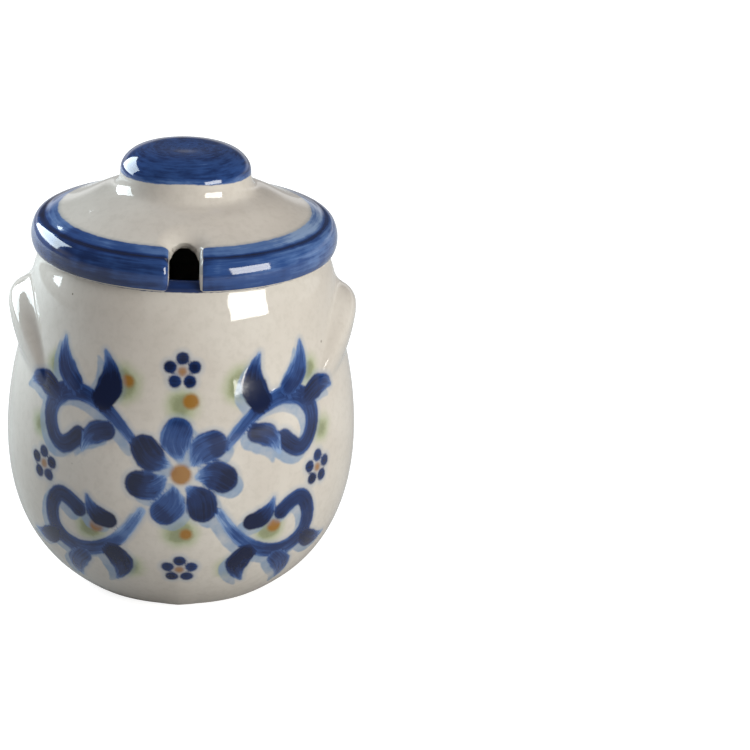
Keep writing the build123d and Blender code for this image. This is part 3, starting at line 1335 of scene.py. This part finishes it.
@dataclass(frozen=True)
class Glaze:
    """What every glazed surface of the pot shares.

    Attributes:
        thin: cream where the glaze is thin.
        thick: cream where it is thick.
        gloss: roughness of the bare cream glaze.
        painted_gloss: roughness over the cobalt.
        bend: how strongly the glaze bends light, which sets how much it mirrors.
        clay: the fired clay where nothing covers it.
        clay_roughness: roughness of that clay.
    """

    thin: Colour = (0.60, 0.56, 0.51)
    thick: Colour = (0.665, 0.63, 0.58)
    gloss: float = 0.045
    painted_gloss: float = 0.07
    bend: float = 1.52
    clay: Colour = (0.43, 0.36, 0.28)
    clay_roughness: float = 0.85

    def start(self, name: str) -> tuple[bpy.types.Material, Graph, Socket, dict[str, Socket]]:
        """Opens a new material.

        Args:
            name: the material's name.

        Returns:
            The material, its graph, the place on the piece, and the cream ground's outputs.
        """
        material = bpy.data.materials.new(name)
        material.use_nodes = True
        material.node_tree.nodes.clear()
        g = Graph(material.node_tree)
        place = g.add("TexCoord").outputs["Object"]
        return material, g, place, use(g, cream_ground(), Place=place, Thin=self.thin, Thick=self.thick)

    def finish(self, g: Graph, colour: Socket, height: Socket, painted: Socket, bare: Socket) -> None:
        """Closes a material.

        Args:
            g: its graph.
            colour: the colour under the glaze.
            height: the surface's relief in mm.
            painted: how much cobalt lies there.
            bare: where the clay has no glaze.
        """
        shader = g.add("BsdfPrincipled")
        shader.inputs["IOR"].default_value = self.bend
        grain = g.noise(g.add("TexCoord").outputs["Object"], scale=1400, detail=2, roughness=0.6)
        clay = g.mix(grain, tuple(v * 0.8 for v in self.clay), tuple(v * 1.15 for v in self.clay))
        g.feed(shader.inputs["Base Color"], g.mix(bare, colour, clay))
        rough = g.blend(painted, self.gloss, self.painted_gloss)
        g.feed(shader.inputs["Roughness"], g.blend(bare, rough, self.clay_roughness))
        bump = g.add("Bump")
        bump.inputs["Strength"].default_value = 1.0
        bump.inputs["Distance"].default_value = MM
        g.feed(bump.inputs["Height"], g.blend(bare, height, g.times(grain, 0.05)))
        g.feed(shader.inputs["Normal"], bump.outputs[0])
        out = g.add("OutputMaterial")
        g.feed(out.inputs[0], shader.outputs[0])


def polar(g: Graph, place: Socket) -> tuple[Socket, Socket, Socket, Socket]:
    """Splits a place.

    Args:
        g: the graph to add to.
        place: the place, in metres.

    Returns:
        Its distance from the upright axis and its height in mm, and its direction from the axis as x and y.
    """
    parts = g.add("SeparateXYZ")
    g.feed(parts.inputs[0], g.scaled(place, 1 / MM))
    x, y, z = parts.outputs
    radius = g.math("SQRT", g.plus(g.times(x, x), g.times(y, y)))
    safe = g.math("MAXIMUM", radius, 0.01)
    return radius, z, g.math("DIVIDE", x, safe), g.math("DIVIDE", y, safe)


def narrow(g: Graph, value: Socket, middle: float, half: float) -> Socket:
    """A soft peak of 1 where the value is near the middle."""
    return g.between(g.math("ABSOLUTE", g.minus(value, middle)), half, 0.0)


@dataclass(frozen=True)
class JarGlaze(Glaze):
    """The jar's glaze: cream, painted with the two designs, and a cobalt band round the rim.

    Attributes:
        band_edge: lower edge of the band, in mm.
        band_load: how thick its cobalt lies.
        wash: the watery cobalt of the shadow strokes.
        halo: the yellow green that spreads into the glaze round the leaf green.
        green: the leaf green.
        ochre: the ochre of the touches.
        peach: the peach of the petals behind.
        lemon: the pale yellow of the petals behind.
    """

    band_edge: float = 117.0
    band_load: float = 0.68
    wash: Colour = (0.25, 0.335, 0.47)
    halo: Colour = (0.33, 0.40, 0.20)
    green: Colour = (0.15, 0.19, 0.065)
    ochre: Colour = (0.31, 0.135, 0.014)
    peach: Colour = (0.66, 0.30, 0.17)
    lemon: Colour = (0.66, 0.58, 0.24)

    @staticmethod
    def soaked(g: Graph, place: Socket, colour: Socket, paint: Paint, tint: Colour, most: float,
               grit: Socket | None = None, fringe: Colour | None = None) -> Socket:
        """Lets one of the soft paints soak into the glaze.

        Args:
            g: the graph to add to.
            place: the place on the jar.
            colour: the colour so far.
            paint: the paint.
            tint: its colour.
            most: how much of it lies where it is thickest.
            grit: where its grains let the glaze show, or None for a smooth paint.
            fringe: its colour where it runs out, or None for the same.

        Returns:
            The new colour.
        """
        cover = g.times(g.layer(paint.value), most)
        clouds = g.times(g.noise(place, scale=240, detail=3, roughness=0.6), 0.35)
        cover = g.between(g.plus(cover, clouds), 0.22, 1.15)
        if grit is not None:
            cover = g.times(cover, grit)
        if fringe is not None:
            tint = g.mix(g.between(cover, 0.45, 1.0), fringe, tint)
        return g.mix(g.math("MINIMUM", cover, most), colour, tint)

    def strokes(self, g: Graph, place: Socket, colour: Socket) -> tuple[Socket, Socket, Socket]:
        """Lays the cobalt strokes over the rest.

        Args:
            g: the graph to add to.
            place: the place on the jar.
            colour: the colour so far.

        Returns:
            The new colour, how much cobalt lies there and the strokes' relief in mm.
        """
        edge = use(g, ragged_edge(), Place=place, Inside=g.layer("cobalt"), Soft=0.5)
        flow = g.vector(g.times(g.layer("along"), 0.10), g.times(g.layer("aside"), 1.15), 0.0)
        thinned = g.between(g.layer("edge"), 1.9, 0.1, 0.0, 0.24)
        load = g.minus(g.times(g.layer("load"), 0.86), thinned)
        load = g.plus(load, g.times(g.layer("green"), 0.28))
        brush = use(g, brushed_cobalt(), Flow=flow, Place=place, Load=load)
        colour = g.mix(g.times(edge["Bleed"], 0.35), colour, self.wash)
        painted = edge["Paint"]
        return g.mix(painted, colour, brush["Colour"]), painted, g.times(painted, brush["Height"])

    def build(self) -> bpy.types.Material:
        """Makes the material.

        Returns:
            The material.
        """
        material, g, place, ground = self.start("jar_glaze")
        radius, height, x, y = polar(g, place)
        grit = g.between(g.noise(place, scale=900, detail=2, roughness=0.7), 0.35, 0.62, 0.45, 1.0)
        colour = self.soaked(g, place, ground["Colour"], Paint.GREEN, self.green, 0.8, fringe=self.halo)
        colour = self.soaked(g, place, colour, Paint.PEACH, self.peach, 0.9, grit)
        colour = self.soaked(g, place, colour, Paint.LEMON, self.lemon, 0.85, grit)
        shadow = use(g, ragged_edge(), Place=place, Inside=g.layer("wash"), Soft=0.45)
        pale = g.between(g.noise(place, scale=130, detail=3, roughness=0.55), 0.25, 0.7, 0.45, 1.0)
        colour = g.mix(g.times(shadow["Paint"], pale), colour, self.wash)
        colour = self.soaked(g, place, colour, Paint.OCHRE, self.ochre, 0.92)
        colour, painted, relief = self.strokes(g, place, colour)
        ring = g.vector(g.times(x, 5.0), g.times(y, 5.0), g.times(height, 0.9))
        band = use(g, ragged_edge(), Place=place, Inside=g.minus(height, self.band_edge), Soft=0.25)
        banding = use(g, brushed_cobalt(), Flow=ring, Place=place, Load=self.band_load)
        on_band = g.times(band["Paint"], g.between(radius, 44.2, 44.8))
        colour = g.mix(on_band, colour, banding["Colour"])
        painted = g.math("MAXIMUM", painted, on_band)
        relief = g.plus(g.plus(ground["Height"], relief), g.times(painted, 0.02))
        worn = g.times(g.noise(place, scale=150), 0.5)
        bare = g.times(g.between(g.minus(height, worn), 0.35, 0.05), g.between(radius, 27.6, 28.4))
        self.finish(g, colour, relief, painted, bare)
        return material


@dataclass(frozen=True)
class LidGlaze(Glaze):
    """The lid's glaze: cream dome and neck, cobalt roll, groove and knob, bare clay where it sits.

    Attributes:
        rest: height of the lid's seat, in mm.
        band_radius: where the cobalt starts on the dome.
        groove_radius: where it pools in the groove.
        cap_edge: height of the cobalt's edge on the knob.
        notch_half: half width of the notch.
        notch_middle: middle of the notch's round end, along Y.
        notch_rim: how wide the bare cream rim on the notch's right side is.
        fringe: colour of the glaze that the band's inner edge bleeds into.
    """

    rest: float = 120.55
    band_radius: float = 42.7
    groove_radius: float = 47.9
    cap_edge: float = 145.6
    notch_half: float = 4.9
    notch_middle: float = -42.2
    notch_rim: float = 0.8
    fringe: Colour = (0.20, 0.25, 0.30)

    def beside_notch(self, g: Graph, east: Socket, north: Socket) -> Socket:
        """Where the band's paint may lie: all round, but not in the notch or on its rim.

        Args:
            g: the graph to add to.
            east: the place along X, in mm.
            north: the place along Y, in mm.

        Returns:
            1 where there may be paint.
        """
        ahead = g.math("MAXIMUM", g.minus(north, self.notch_middle), 0.0)
        slot = g.math("SQRT", g.plus(g.times(east, east), g.times(ahead, ahead)))
        front = g.between(north, -30.0, -31.0)
        rim = g.between(east, -0.5, 0.5, 0.0, self.notch_rim)
        clear = g.between(g.minus(g.minus(slot, self.notch_half), rim), 0.1, 0.45)
        return g.blend(front, 1.0, clear)

    def band_load(self, g: Graph, radius: Socket, level: Socket, around: Socket, above: Socket) -> Socket:
        """How thick the band's cobalt lies: dark in the groove, pale inside it, a little darker at the bottom
        of the roll and on the lip, and with painted light and shade across the front, darker towards the left
        and lighter towards the right.

        Args:
            g: the graph to add to.
            radius: distance from the axis, in mm.
            level: height above the seat, in mm.
            around: direction from the front towards the right, in radians.
            above: 1 on top of the lid.

        Returns:
            The load, from 0 to 1.
        """
        groove = g.times(narrow(g, radius, self.groove_radius, 1.7), above)
        inner = g.times(g.between(radius, 47.6, 45.6), above)
        # painted light and shade: the band's cobalt darker towards the left front and lighter towards the
        # right front
        second = g.times(g.between(around, -1.06, -0.98), g.between(around, -1.0, 1.3, 0.20, -0.17))
        second = g.times(second, g.between(around, 3.1, 1.7))
        load = g.plus(g.plus(0.46, second), g.times(groove, 0.42))
        load = g.minus(load, g.times(inner, 0.22))
        return g.plus(load, g.times(g.between(level, 2.5, -2.0), 0.10))

    def build(self) -> bpy.types.Material:
        """Makes the material.

        Returns:
            The material.
        """
        material, g, place, ground = self.start("lid_glaze")
        radius, height, x, y = polar(g, place)
        level = g.minus(height, self.rest)
        above = g.between(level, 3.2, 3.6)
        outer = g.math("MAXIMUM", above, g.between(radius, 49.6, 50.0))
        ring = use(g, ragged_edge(), Place=place, Inside=g.minus(radius, self.band_radius), Soft=0.35)
        lower = g.between(g.minus(level, g.times(g.noise(place, scale=200), 0.3)), -2.62, -2.42)
        clear = self.beside_notch(g, g.times(x, radius), g.times(y, radius))
        on_ring = g.times(g.times(ring["Paint"], outer), g.times(lower, clear))
        cap_in = g.plus(g.minus(height, self.cap_edge), g.times(g.math("ABSOLUTE", x), 1.5))
        cap = use(g, ragged_edge(), Place=place, Inside=cap_in, Soft=0.25)
        on_cap = g.times(cap["Paint"], g.between(radius, 27.0, 26.0))
        sweep = g.plus(g.times(radius, 0.75), g.times(height, -0.75))
        flow = g.vector(g.times(x, 3.0), g.times(y, 3.0), sweep)
        around = g.math("ARCTAN2", x, g.times(y, -1.0))
        load = self.band_load(g, radius, level, around, above)
        band = use(g, brushed_cobalt(), Flow=flow, Place=place, Load=load)
        cap_load = g.minus(0.56, g.times(g.between(cap_in, 2.2, 0.8), 0.24))
        top = use(g, brushed_cobalt(), Flow=flow, Place=place, Load=cap_load)
        bleed = g.times(g.times(ring["Bleed"], above), 0.4)
        colour = g.mix(bleed, ground["Colour"], self.fringe)
        colour = g.mix(on_ring, colour, band["Colour"])
        colour = g.mix(on_cap, colour, top["Colour"])
        painted = g.math("MAXIMUM", on_ring, on_cap)
        relief = g.plus(ground["Height"], g.times(painted, band["Height"]))
        bare = g.times(g.between(level, 0.5, 0.2), g.between(radius, 49.6, 49.2))
        self.finish(g, colour, relief, painted, bare)
        return material


# ------------------------------------------------------------------ the studio
@dataclass(frozen=True)
class Softbox:
    """One soft lamp that faces the pot.

    Attributes:
        name: the lamp's name.
        azimuth: where it stands, in degrees from the front towards the right.
        elevation: how high it stands, in degrees.
        distance: how far from the pot, in m.
        width: its width in m.
        height: its height in m.
        glow: its brightness, where 1 is white.
        colour: the colour of its light.
    """

    name: str
    azimuth: float
    elevation: float
    distance: float
    width: float
    height: float
    glow: float
    colour: Colour = (1.0, 1.0, 1.0)

    def build(self) -> None:
        """Hangs the lamp."""
        around, up = math.radians(self.azimuth), math.radians(self.elevation)
        way = Vector((math.sin(around) * math.cos(up), -math.cos(around) * math.cos(up), math.sin(up)))
        data = bpy.data.lights.new(self.name, "AREA")
        data.shape, data.size, data.size_y = "RECTANGLE", self.width, self.height
        data.energy = self.glow * math.pi * self.width * self.height
        data.color = self.colour
        lamp = bpy.data.objects.new(self.name, data)
        lamp.location = Vector((0, 0, 0.08)) + way * self.distance
        lamp.rotation_mode = "QUATERNION"
        lamp.rotation_quaternion = way.to_track_quat("Z", "Y")
        bpy.context.scene.collection.objects.link(lamp)


@dataclass(frozen=True)
class Studio:
    """The plain pale floor, the soft light and the camera.

    Attributes:
        lamps: the soft lamps.
        ambient: brightness of the room's own light.
        air: its colour.
        paper: how much light the floor gives back.
        paper_glow: how much the camera sees the floor brightened.
        floor_mirrored_painted_shade: how bright the floor is in reflections, near the pot and far from it;
            the dimmer value near the pot is painted shade.
        dark_side: how bright the room behind the camera is in reflections, where the rest is 1.
        eye: where the camera stands, in m.
        aim: what it points at, in m.
        roll: how far it leans, in degrees.
        lens: its focal length in mm.
    """

    lamps: tuple[Softbox, ...] = (
        Softbox("right softbox", 49, 13.6, 0.9, 0.48, 0.32, 12.6, (1.0, 0.985, 0.92)),
        Softbox("left softbox", -126, 20, 0.9, 0.72, 0.50, 8.9, (0.82, 0.95, 1.0)),
    )
    ambient: float = 0.30
    air: Colour = (1.0, 0.955, 0.94)
    paper: float = 0.42
    paper_glow: float = 0.86
    floor_mirrored_painted_shade: tuple[float, float] = (0.07, 0.2)
    dark_side: float = 0.14
    eye: Colour = (0.0, -1.0, 0.4394)
    aim: Colour = (0.0663, 0.0, 0.07194)
    roll: float = 2.26
    lens: float = 148.5

    def build(self) -> None:
        """Sets up everything round the pot."""
        for lamp in self.lamps:
            lamp.build()
        self.floor()
        self.room()
        self.camera()

    @staticmethod
    def seen(g: Graph) -> tuple[Socket, Socket]:
        """Tells apart who looks.

        Args:
            g: the graph to add to.

        Returns:
            1 for what the camera sees, and 1 for what a reflection or clear glass shows. Both are 0 for
            light on its way to the pot.
        """
        path = g.add("LightPath")
        mirrored = g.math("MAXIMUM", path.outputs["Is Glossy Ray"], path.outputs["Is Transmission Ray"])
        return path.outputs["Is Camera Ray"], mirrored

    def floor(self) -> None:
        """Lays the floor, which keeps the pot's shadow."""
        clear_selection()
        bpy.ops.mesh.primitive_plane_add(size=14, location=(0, 0, -0.05 * MM))
        floor = bpy.context.object
        floor.name = "floor"
        material = bpy.data.materials.new("floor_paper")
        material.use_nodes = True
        material.node_tree.nodes.clear()
        g = Graph(material.node_tree)
        paper = g.add("BsdfDiffuse")
        paper.inputs[0].default_value = (self.paper, self.paper, self.paper, 1)
        glow = g.add("Emission")
        camera, mirrored = self.seen(g)
        spread = g.add("VectorMath", operation="LENGTH")
        g.feed(spread.inputs[0], g.add("TexCoord").outputs["Object"])
        # painted shade: the floor's glow in reflections is dimmer near the pot, where the pot shades the
        # floor
        far = g.between(spread.outputs["Value"], 0.06, 0.45, *self.floor_mirrored_painted_shade)
        seen = g.math("MAXIMUM", g.times(camera, self.paper_glow), g.times(mirrored, far))
        g.feed(glow.inputs["Strength"], seen)
        both = g.add("AddShader")
        g.feed(both.inputs[0], paper.outputs[0])
        g.feed(both.inputs[1], glow.outputs[0])
        g.feed(g.add("OutputMaterial").inputs[0], both.outputs[0])
        floor.data.materials.append(material)

    def room(self) -> None:
        """Sets the white room, whose far side behind the camera is darker in reflections."""
        world = bpy.data.worlds.new("room")
        world.use_nodes = True
        world.node_tree.nodes.clear()
        g = Graph(world.node_tree)
        soft, white = g.add("Background"), g.add("Background")
        soft.inputs[0].default_value = (*self.air, 1)
        parts = g.add("SeparateXYZ")
        g.feed(parts.inputs[0], g.add("TexCoord").outputs["Generated"])
        high = g.between(parts.outputs[2], 0.0, 1.0, 0.5, 2.0)
        g.feed(soft.inputs[1], g.times(high, self.ambient))
        sweep = g.times(g.between(parts.outputs[1], -0.2, 0.3), g.between(parts.outputs[2], 0.22, 0.04))
        camera, mirrored = self.seen(g)
        g.feed(white.inputs[1], g.math("MAXIMUM", camera, g.blend(sweep, self.dark_side, 1.0)))
        room = g.add("MixShader")
        g.feed(room.inputs[0], g.math("MAXIMUM", camera, mirrored))
        g.feed(room.inputs[1], soft.outputs[0])
        g.feed(room.inputs[2], white.outputs[0])
        g.feed(g.add("OutputWorld").inputs[0], room.outputs[0])
        bpy.context.scene.world = world

    def camera(self) -> None:
        """Places the camera."""
        data = bpy.data.cameras.new("camera")
        data.lens, data.sensor_width = self.lens, 36.0
        camera = bpy.data.objects.new("camera", data)
        eye, aim = Vector(self.eye), Vector(self.aim)
        camera.location = eye
        camera.rotation_mode = "QUATERNION"
        lean = Quaternion((0, 0, 1), math.radians(self.roll))
        camera.rotation_quaternion = (aim - eye).to_track_quat("-Z", "Y") @ lean
        bpy.context.scene.collection.objects.link(camera)
        bpy.context.scene.camera = camera
        bpy.context.scene.view_settings.view_transform = "Standard"


# ------------------------------------------------------------------ the pot
def main() -> None:
    """Builds the pot and the studio in order."""
    logging.basicConfig(level=logging.INFO, format="%(message)s")
    jar, painting = Jar().build()
    jar.data.materials.append(JarGlaze().build())
    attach(jar, "jar")
    log.info("%s: %d vertices, %.0f%% painted", jar.name, painting.count,
             100 * float((painting.layers["cobalt"] > 0).mean()))
    lid = Lid().build()
    lid.data.materials.append(LidGlaze().build())
    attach(lid, "lid")
    log.info("%s: %d vertices", lid.name, len(lid.data.vertices))
    Studio().build()


if __name__ == "__main__":
    main()
